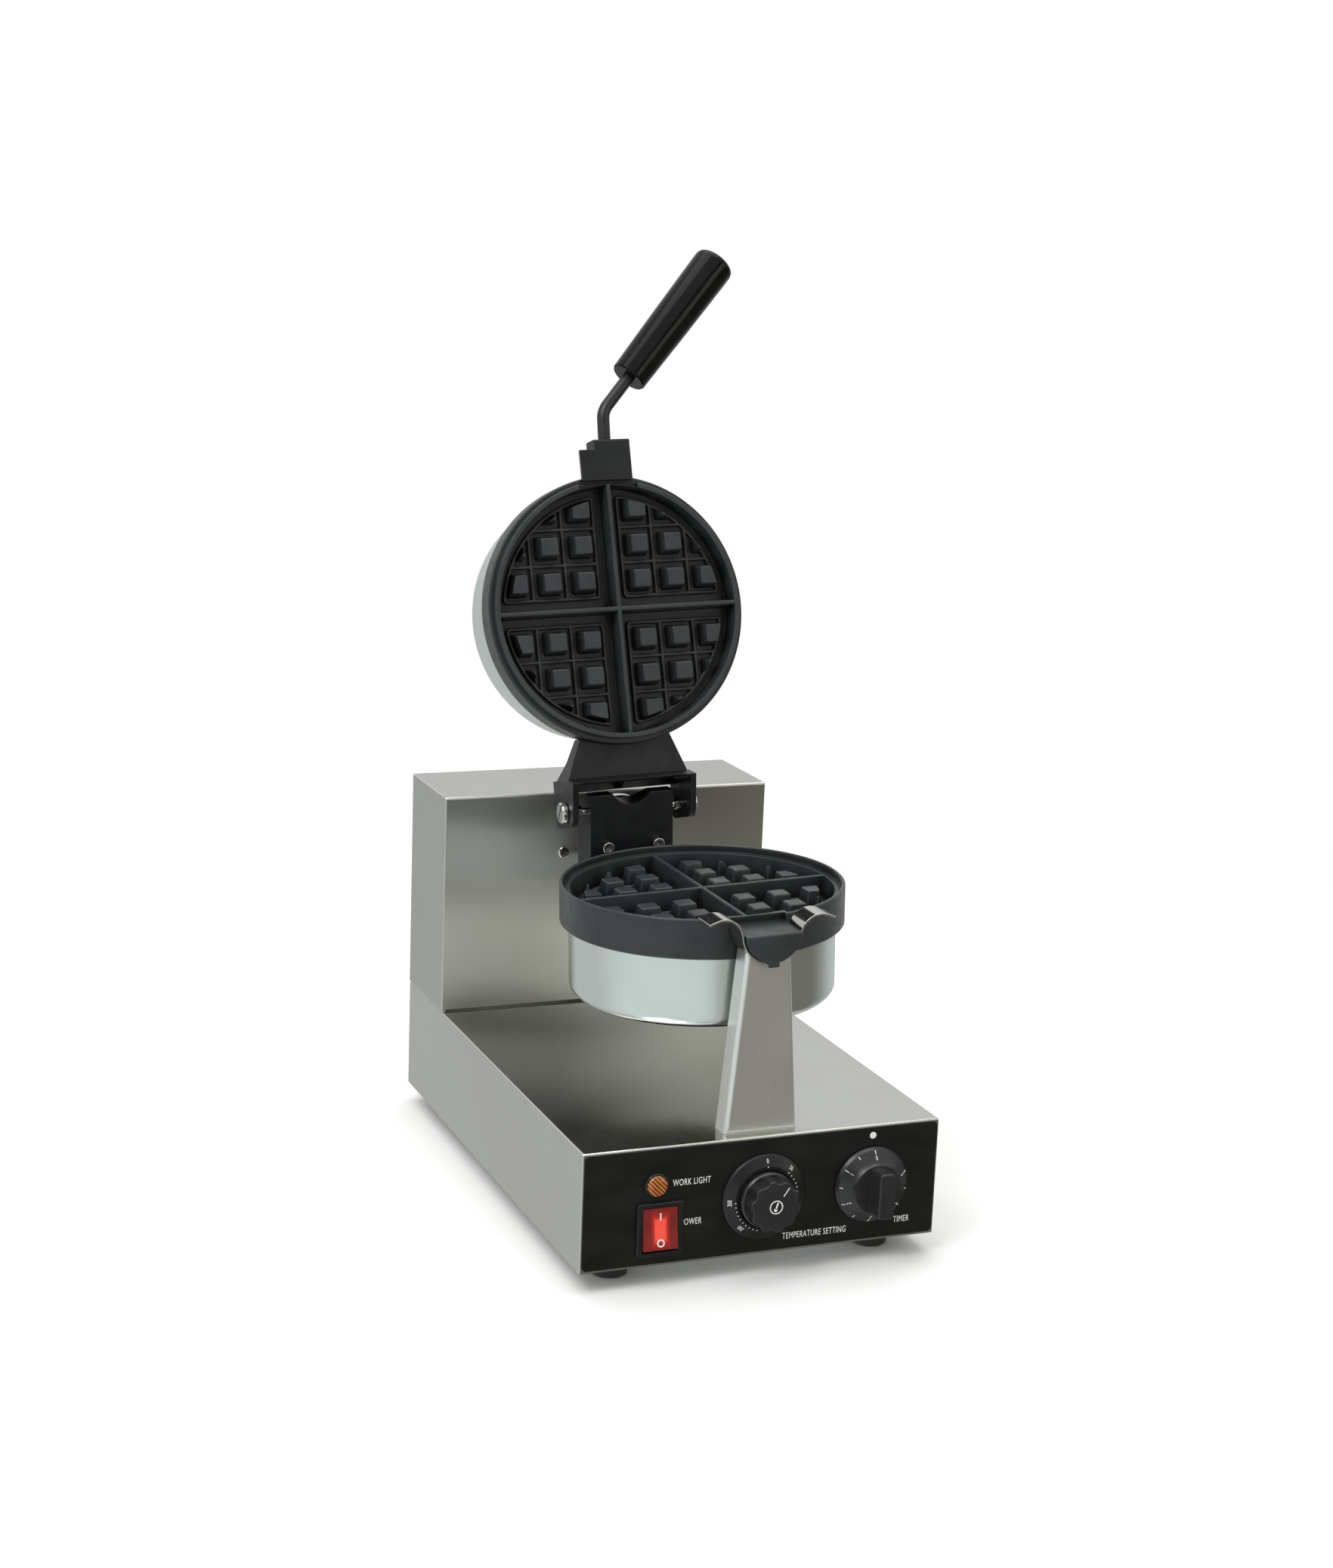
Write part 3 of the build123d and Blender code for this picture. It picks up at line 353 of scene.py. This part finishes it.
def print_ink():
    """White screen print, a little uneven."""
    shader = Shader("print_white", (0.78, 0.78, 0.76), 0.55)
    patchy = shader.noise(shader.mapped(1400), 3.0, 0.6)
    shader.color(shader.ramp(patchy, [(0.3, (0.62, 0.62, 0.6)), (0.6, (0.84, 0.84, 0.82))]))
    shader.bump(patchy, 0.1, 0.00003)
    return shader.mat


def rubber(name):
    """Matte black rubber with dust."""
    shader = Shader(name, (0.018, 0.018, 0.018), 0.72)
    dust = shader.noise(shader.mapped(120), 5.0, 0.65)
    shader.color(shader.ramp(dust, [(0.4, (0.014, 0.014, 0.014)), (0.8, (0.045, 0.043, 0.04))]))
    shader.rough(shader.scaled(dust, 0.62, 0.82))
    shader.bump(shader.noise(shader.mapped(1200), 2.0), 0.15, 0.0002)
    return shader.mat


def panel_enamel():
    """Matte black enamelled plate with a fine orange peel and light smears."""
    shader = Shader("panel_black", (0.006, 0.006, 0.0062), 0.36, 0.0,
                    **{"Specular IOR Level": 0.35})
    shader.soften_edges(0.0004)
    smear = shader.noise(shader.mapped((26, 26, 70)), 5.0, 0.6)
    shader.color(shader.ramp(smear, [(0.35, (0.005, 0.005, 0.0052)),
                                     (0.8, (0.010, 0.010, 0.0098))]))
    shader.rough(shader.scaled(smear, 0.30, 0.42))
    shader.bump(shader.noise(shader.mapped(1300), 2.0), 0.08, 0.0001)
    return shader.mat


def centre_of(node):
    low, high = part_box(node)
    return tuple((a + b) / 2 for a, b in zip(low, high))


MATERIALS = {                   # by material slot
    "panel_black": panel_enamel(),
    "rubber": rubber("rubber"),
    "zinc_sheet": grained_steel("zinc_sheet", 1, (0.52, 0.53, 0.54), 0.38),
    "bright_steel": bright_metal("bright_steel", (0.74, 0.74, 0.72), 0.2),
    "cast_grey": casting("cast_grey", (0.16, 0.16, 0.165), 0.55, pit=0.5),
    "bronze": bright_metal("bronze", (0.5, 0.36, 0.17), 0.3),
    "black_plastic": plastic("black_plastic", (0.008, 0.008, 0.008), 0.33),
    "knob_plastic": plastic("knob_plastic", (0.014, 0.0145, 0.0148), 0.30, specular=0.5),
    "amber_lens": lens_amber(),
    "red_lens": lens_red(),
    "pale_plastic": plastic("pale_plastic", (0.7, 0.68, 0.6), 0.45),
    "nonstick_casting": casting("nonstick_casting", (0.0235, 0.0260, 0.0285), 0.33, pit=0.06),
    "satin_cover": satin("satin_cover", SATIN_COLOR, 0.25, 1.0),
    "heater_tube": bright_metal("heater_tube", (0.26, 0.22, 0.19), 0.45),
    "black_casting": casting("black_casting", (0.006, 0.0066, 0.0080), 0.36, speck=0.12,
                             grit=0.06, depth=0.008, pit=0.35),
    "black_rod": plastic("black_rod", (0.012, 0.0125, 0.0125), 0.3),
    "grip_plastic": plastic("grip_plastic", (0.003, 0.003, 0.0027), 0.10, texture=0.01,
                            specular=0.16),
}
OWN_MATERIALS = {               # nodes that don't look like the rest of their slot
    "lower_cover": satin("lower_cover_satin", SATIN_COLOR, 0.25, 1.0, (0.030, 0.028, 0.025)),
    "base_shell": grained_steel("base_steel", 1, rough=0.12),
    "rear_housing": grained_steel("housing_steel", 2, along_top=1, rough=0.30, brushed=0.9),
    "rear_cover": grained_steel("cover_steel", 2),
    "front_stand": grained_steel("stand_steel", 2, (0.86, 0.865, 0.85), 0.38),
    "saddle": grained_steel("saddle_steel", 1, (0.6, 0.6, 0.58), 0.13),
}
slot_of = {part["node"]: part["material_slot"] for part in frame["record"]["subparts"]}
for name, obj in nodes.items():
    material = OWN_MATERIALS.get(name) or MATERIALS[slot_of[name]]
    obj.data.materials.clear()
    obj.data.materials.append(material)


# ---- printed marks ------------------------------------------------------------------
INK = print_ink()
PANEL_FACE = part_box("control_panel")[0][1]
PRINT_HALF = 0.00004            # half the thickness of a printed mark
LIFT = 0.00003                  # height of a mark's middle over the face it is on
NARROW = 0.62                   # the printed letters are a condensed face
LETTER_GAP = 1.12
WORD_SIZE, SCALE_SIZE, ZERO_SIZE = 0.0062, 0.0042, 0.0045
SCALE_BOLD = 0.00003


def mesh_object(name, verts, faces):
    mesh = bpy.data.meshes.new(name)
    mesh.from_pydata([tuple(v) for v in verts], [], faces)
    mesh.update()
    obj = bpy.data.objects.new(name, mesh)
    bpy.context.collection.objects.link(obj)
    return obj


def printed(name, marks, body):
    """One printed piece from the meshes of its marks."""
    verts, faces = [], []
    for mesh in marks:
        start = len(verts)
        verts += [v.co.copy() for v in mesh.vertices]
        faces += [tuple(i + start for i in p.vertices) for p in mesh.polygons]
    obj = mesh_object(name, verts, faces)
    obj.data.materials.append(INK)
    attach(obj, body)


def lettering(text, size, place, bold=0.0):
    """A mesh of one word or number, centred on its origin and laid by the matrix place."""
    curve = bpy.data.curves.new(text, "FONT")
    curve.body = text
    curve.size = size
    curve.align_x = "CENTER"
    curve.align_y = "CENTER"
    curve.offset = bold
    curve.space_character = LETTER_GAP
    curve.extrude = PRINT_HALF
    curve.resolution_u = 4
    holder = bpy.data.objects.new(text, curve)
    bpy.context.collection.objects.link(holder)
    bpy.context.view_layer.update()
    evaluated = holder.evaluated_get(bpy.context.evaluated_depsgraph_get())
    mesh = bpy.data.meshes.new_from_object(evaluated)
    bpy.data.objects.remove(holder)
    bpy.data.curves.remove(curve)
    mesh.transform(place @ Matrix.Scale(NARROW, 4, (1, 0, 0)))
    return mesh


def strip(length, width, place):
    """A thin printed bar, length along its local Y."""
    mesh = bpy.data.meshes.new("strip")
    a, b = width / 2, length / 2
    corners = [(-a, -b), (a, -b), (a, b), (-a, b)]
    verts = [(x, y, z) for z in (-PRINT_HALF, PRINT_HALF) for x, y in corners]
    faces = [(0, 3, 2, 1), (4, 5, 6, 7)]
    faces += [(i, (i + 1) % 4, (i + 1) % 4 + 4, i + 4) for i in range(4)]
    mesh.from_pydata(verts, [], faces)
    mesh.transform(place)
    return mesh


def disc(radius, place, inner=0.0, steps=40):
    """A thin printed dot, or a ring if inner is given."""
    mesh = bpy.data.meshes.new("disc")
    verts, faces = [], []
    for z in (-PRINT_HALF, PRINT_HALF):
        for r in (radius, max(inner, radius * 0.02)):
            for k in range(steps):
                turn = 2 * math.pi * k / steps
                verts.append((r * math.cos(turn), r * math.sin(turn), z))
    for k in range(steps):
        n = (k + 1) % steps
        faces.append((k, steps + k, steps + n, n))
        faces.append((2 * steps + k, 2 * steps + n, 3 * steps + n, 3 * steps + k))
        faces.append((k, n, 2 * steps + n, 2 * steps + k))
        faces.append((steps + k, 3 * steps + k, 3 * steps + n, steps + n))
    mesh.from_pydata(verts, [], faces)
    mesh.transform(place)
    return mesh


def on_face(x, z, y=PANEL_FACE - LIFT, turn=0.0):
    """Lays a flat mark on a face that looks towards -Y; turn is clockwise from the front."""
    return (Matrix.Translation((x, y, z)) @ Matrix.Rotation(math.radians(90), 4, "X")
            @ Matrix.Rotation(math.radians(-turn), 4, "Z"))


def around_cone(centre, r0, y0, r1, y1, angle):
    """Lays a mark on a cone about the Y axis at a clockwise angle from the top.

    The cone passes through radius r0 at y0 and radius r1 at y1.
    """
    r, y = (r0 + r1) / 2, (y0 + y1) / 2
    lean = math.atan2(y1 - y0, r1 - r0)
    spin = Matrix.Rotation(math.radians(angle), 4, "Y")
    local = (Matrix.Translation((0, y, r)) @ Matrix.Rotation(-lean, 4, "X")
             @ Matrix.Rotation(math.radians(90), 4, "X")
             @ Matrix.Translation((0, 0, 0.00005)))
    return Matrix.Translation((centre[0], 0, centre[2])) @ spin @ local


def panel_print():
    """The control words, and the dot that marks the timer's setting."""
    lamp, rocker = centre_of("lamp_lens"), centre_of("switch_housing")
    heat, timer = centre_of("thermostat_bezel"), centre_of("timer_knob")
    words = [("WORK LIGHT", lamp[0] + 0.0242, lamp[2]),
             ("POWER", rocker[0] + 0.0219, rocker[2] + 0.0022),
             ("TEMPERATURE SETTING", heat[0] + 0.0376, heat[2] - 0.0295),
             ("TIMER", timer[0] + 0.0240, timer[2] - 0.0270)]
    marks = [lettering(text, WORD_SIZE, on_face(x, z), 0.00001) for text, x, z in words]
    marks.append(disc(0.0023, on_face(timer[0], timer[2] + 0.0335)))
    printed("panel_print", marks, "base")


def thermostat_print():
    """Scale on the fixed ring: 0, then 50 to 300 in dotted steps."""
    centre = centre_of("thermostat_bezel")
    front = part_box("thermostat_bezel")[0][1]
    figures = (0.0225, front + 0.00012, 0.0278, front + 0.0028)
    marks = [lettering("0", ZERO_SIZE, around_cone(centre, *figures, 0), SCALE_BOLD)]
    for label, angle in (("50", 42), ("300", 268), ("200", 222)):
        place = around_cone(centre, *figures, angle)
        marks.append(lettering(label, SCALE_SIZE, place, SCALE_BOLD))
    dots = (0.0213, front - 0.0001, 0.0221, front + 0.0001)
    for angle in [0] + list(range(42, 100, 8)) + list(range(196, 272, 8)):
        marks.append(disc(0.00042, around_cone(centre, *dots, angle), steps=10))
    printed("thermostat_scale", marks, "base")


def knob_print():
    """Pointer line and a thermometer sign on the cap of the heat knob."""
    x, _, z = centre_of("thermostat_knob")
    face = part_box("thermostat_knob")[0][1] - LIFT
    reach, turn = 0.0118, 35
    pointer = math.radians(turn)
    marks = [strip(0.0068, 0.0006, on_face(x + reach * math.sin(pointer),
                                           z + reach * math.cos(pointer), face, turn)),
             disc(0.0046, on_face(x, z, face), 0.0039),
             strip(0.0046, 0.0011, on_face(x + 0.0004, z + 0.0007, face, 20)),
             disc(0.0012, on_face(x - 0.0004, z - 0.0017, face))]
    printed("knob_print", marks, "thermostat")


def timer_print():
    """Minute scale on the timer's sloping skirt; it turns with the knob."""
    centre = centre_of("timer_knob")
    panel = PANEL_FACE + 0.0008
    ticks = (0.0222, panel - 0.0066, 0.0246, panel - 0.0047)
    figures = (0.0188, panel - 0.0092, 0.0218, panel - 0.0070)
    half_minute = -29               # degrees between ticks
    marks = []
    for tick in range(11):
        length = 0.0030 if tick % 2 == 0 else 0.0022
        marks.append(strip(length, 0.0005, around_cone(centre, *ticks, half_minute * tick)))
    for minute in range(6):
        place = around_cone(centre, *figures, 2 * half_minute * minute)
        marks.append(lettering(str(minute), SCALE_SIZE, place, SCALE_BOLD))
    printed("timer_scale", marks, "timer")


def rocker_print():
    """I and O moulded on the rocker's two faces."""
    x, _, z = centre_of("power_rocker")
    pivot_y = PANEL_FACE + 0.0008 + 0.0015
    marks = []
    for out, up, lean, mark, sizes in ((0.0042, 0.0085, 3.2, strip, (0.0048, 0.0009)),
                                       (0.0064, -0.0085, 11.7, disc, (0.0026,))):
        place = (Matrix.Translation((x, pivot_y - out, z + up))
                 @ Matrix.Rotation(math.radians(90 - lean), 4, "X"))
        ring = {"inner": 0.0017} if mark is disc else {}
        marks.append(mark(*sizes, place, **ring))
    printed("rocker_print", marks, "rocker")


panel_print()
thermostat_print()
knob_print()
timer_print()
rocker_print()


# ---- floor, surroundings, light and camera ------------------------------------------
STAGE_HALF = 12.0               # half the width of the floor and of the white box
FADE_START, FADE_END = 0.35, 1.7        # distance over which the floor turns to white


def floor():
    """Pale floor that fades into the white surround; reflections don't see it."""
    s = STAGE_HALF
    obj = mesh_object("floor", [(-s, -s, 0), (s, -s, 0), (s, s, 0), (-s, s, 0)],
                      [(0, 1, 2, 3)])
    shader = Shader("floor_pale", (0.86, 0.86, 0.855), 0.8, 0.0, **{
        "Specular IOR Level": 0.0, "Emission Color": (1, 1, 1, 1)})
    distance = shader.add("ShaderNodeVectorMath", operation="LENGTH")
    shader.link(shader.coords, distance, 0)
    fade = shader.add("ShaderNodeMapRange", interpolation_type="SMOOTHSTEP")
    shader.link(distance.outputs["Value"], fade, "Value")
    shader.set(fade, **{"From Min": FADE_START, "From Max": FADE_END})
    soft = shader.tinted(shader.noise(shader.mapped(3), 3.0),
                         (0.85, 0.85, 0.845), (0.88, 0.88, 0.875))
    shader.color(shader.mix(fade.outputs["Result"], soft, (0.0, 0.0, 0.0)))
    shader.link(fade.outputs["Result"], shader.bsdf, "Emission Strength")
    obj.data.materials.append(shader.mat)
    obj.visible_glossy = False


def surround():
    """White box around everything, which lights nothing and shows in no reflection."""
    s = STAGE_HALF
    corners = [(x, y, z) for z in (-s, s) for y in (-s, s) for x in (-s, s)]
    walls = [(0, 1, 3, 2), (4, 6, 7, 5), (0, 4, 5, 1), (2, 3, 7, 6), (0, 2, 6, 4),
             (1, 5, 7, 3)]
    obj = mesh_object("surround", corners, walls)
    shader = Shader("surround_white", (0.0, 0.0, 0.0), 1.0, 0.0, **{
        "Specular IOR Level": 0.0, "Emission Color": (1, 1, 1, 1), "Emission Strength": 1.0})
    obj.data.materials.append(shader.mat)
    obj.visible_diffuse = obj.visible_glossy = False
    obj.visible_transmission = obj.visible_shadow = False


def world():
    """Soft surroundings for light and reflections, by direction.

    Level with the object they are bright to the left, dim to the right and middling
    behind, and they brighten upwards. Low in front of the object stands a dark band,
    with a bright card in its right part.
    """
    left, right = (0.86, 0.92, 0.90), (0.205, 0.195, 0.165)
    behind, above = (0.66, 0.68, 0.67), (1.0, 1.02, 1.0)
    over_card, beside_card, card = (0.15, 0.145, 0.13), (0.13, 0.125, 0.115), (2.2, 2.24, 2.1)
    strength = 0.85
    studio = bpy.data.worlds.new("studio")
    bpy.context.scene.world = studio
    studio.use_nodes = True
    tree = studio.node_tree
    split = tree.nodes.new("ShaderNodeSeparateXYZ")
    direction = tree.nodes.new("ShaderNodeTexCoord").outputs["Generated"]
    tree.links.new(direction, split.inputs[0])

    def step(axis, start, end):
        """0 to 1 as one part of the direction goes from start to end."""
        node = tree.nodes.new("ShaderNodeMapRange")
        node.interpolation_type = "SMOOTHSTEP"
        node.inputs["From Min"].default_value = start
        node.inputs["From Max"].default_value = end
        tree.links.new(split.outputs[axis], node.inputs["Value"])
        return node.outputs["Result"]

    def product(a, b):
        node = tree.nodes.new("ShaderNodeMath")
        node.operation = "MULTIPLY"
        tree.links.new(a, node.inputs[0])
        tree.links.new(b, node.inputs[1])
        return node.outputs[0]

    def blend(factor, a, b):
        node = tree.nodes.new("ShaderNodeMix")
        node.data_type = "RGBA"
        tree.links.new(factor, node.inputs[0])
        for socket, value in ((node.inputs[6], a), (node.inputs[7], b)):
            if isinstance(value, tuple):
                socket.default_value = (*value, 1)
            else:
                tree.links.new(value, socket)
        return node.outputs[2]

    x, y, z = 0, 1, 2
    front = blend(step(x, -0.33, 0.16), left, right)
    level = blend(step(y, -0.1, 0.6), front, behind)
    sky = blend(step(z, -0.02, 0.5), level, above)
    in_band = product(product(step(z, 0.03, 0.11), step(z, 0.52, 0.44)), step(y, -0.35, -0.65))
    band = blend(step(x, 0.0, 0.2), beside_card, blend(step(z, 0.32, 0.29), over_card, card))
    background = tree.nodes["Background"]
    tree.links.new(blend(in_band, sky, band), background.inputs["Color"])
    background.inputs["Strength"].default_value = strength


def area_light(name, place, target, size, power):
    """A square light, size across, that faces its target."""
    light = bpy.data.lights.new(name, "AREA")
    light.shape = "RECTANGLE"
    light.size = light.size_y = size
    light.energy = power
    obj = bpy.data.objects.new(name, light)
    bpy.context.collection.objects.link(obj)
    obj.location = place
    direction = Vector(target) - Vector(place)
    obj.rotation_euler = direction.to_track_quat("-Z", "Y").to_euler()


CAMERA_PLACE = (-0.66585, -1.63231, 0.67550)
CAMERA_AZIMUTH, CAMERA_DOWN, CAMERA_ROLL = 22.12, 12.52, 2.24       # degrees
SENSOR = 36                     # millimetres across the longer side
FOCAL_LENGTH = 60.10994         # millimetres


def camera():
    azimuth, down, roll = (math.radians(v) for v in (CAMERA_AZIMUTH, CAMERA_DOWN, CAMERA_ROLL))
    forward = Vector((math.sin(azimuth) * math.cos(down), math.cos(azimuth) * math.cos(down),
                      -math.sin(down)))
    level = forward.cross(Vector((0, 0, 1))).normalized()
    above = level.cross(forward)
    right = level * math.cos(roll) + above * math.sin(roll)
    up = above * math.cos(roll) - level * math.sin(roll)
    data = bpy.data.cameras.new("camera")
    data.lens = FOCAL_LENGTH
    data.sensor_width = SENSOR
    data.clip_end = 100
    obj = bpy.data.objects.new("camera", data)
    bpy.context.collection.objects.link(obj)
    matrix = Matrix((right, up, -forward)).transposed().to_4x4()
    matrix.translation = Vector(CAMERA_PLACE)
    obj.matrix_world = matrix
    bpy.context.scene.camera = obj


floor()
surround()
world()
area_light("key", (-1.5, -0.9, 2.2), (0, 0, 0.3), 1.2, 26)
area_light("top", (0.1, 0.3, 2.6), (0, 0, 0.2), 2.4, 34)
camera()
bpy.context.scene.view_settings.view_transform = "Standard"
